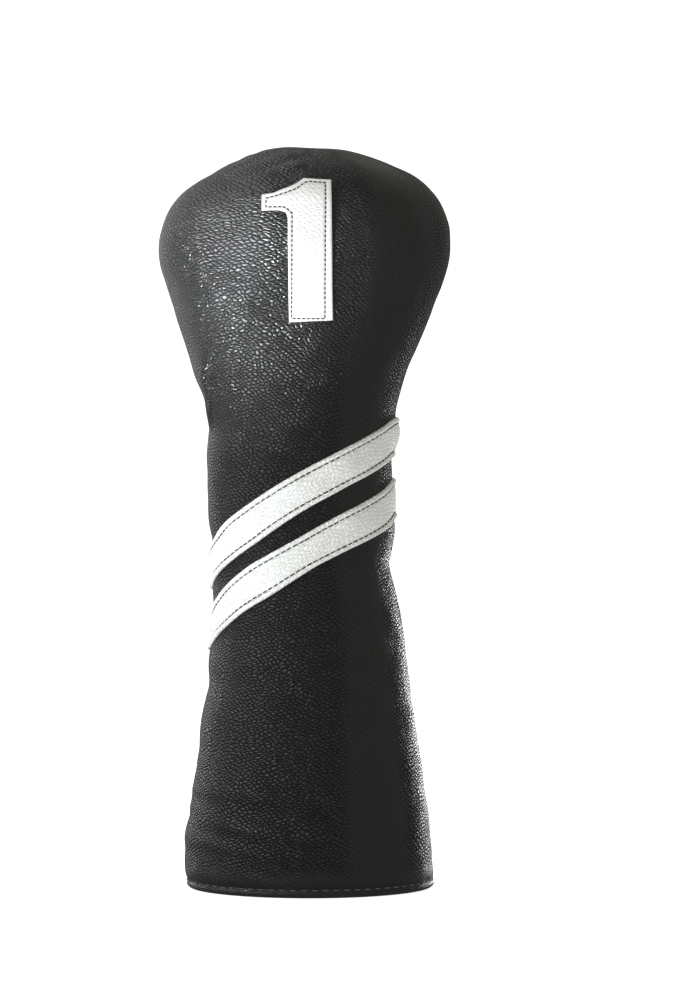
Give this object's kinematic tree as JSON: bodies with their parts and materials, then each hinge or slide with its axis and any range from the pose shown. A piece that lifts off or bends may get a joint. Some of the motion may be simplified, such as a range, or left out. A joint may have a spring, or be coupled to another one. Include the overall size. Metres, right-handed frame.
{
  "type": "driver head cover",
  "caption": "Padded and lined black leather sock that slips over a golf driver's head, with a white numeral patch and slanted white stripes round its elastic neck.",
  "frame": {"origin": "centre of the cover's box on the plane of its hem", "axes": "+Z from the hem to the crown, the numeral faces -Y, +X is the right-hand side seam seen from the front"},
  "size_m": [0.1421, 0.1132, 0.3607],
  "materials": {
    "black_leather": "pebbled, semi-matt",
    "white_leather": "pebbled, semi-matt",
    "black_thread": "twisted polyester thread, slight sheen",
    "foam": "open-cell foam, matt",
    "elastic": "woven elastic, matt",
    "plush": "short-pile plush, soft"
  },
  "bodies": {
    "root": {"front_panel": "black_leather", "back_panel": "black_leather", "number_patch": "white_leather", "number_stitching": "black_thread", "upper_stripe_front": "white_leather", "upper_stripe_back": "white_leather", "lower_stripe_front": "white_leather", "lower_stripe_back": "white_leather", "upper_stripe_stitching": "black_thread", "lower_stripe_stitching": "black_thread", "hem_stitching": "black_thread", "front_padding": "foam", "back_padding": "foam", "neck_elastic": "elastic", "front_lining": "plush", "back_lining": "plush"}
  },
  "joints": []
}
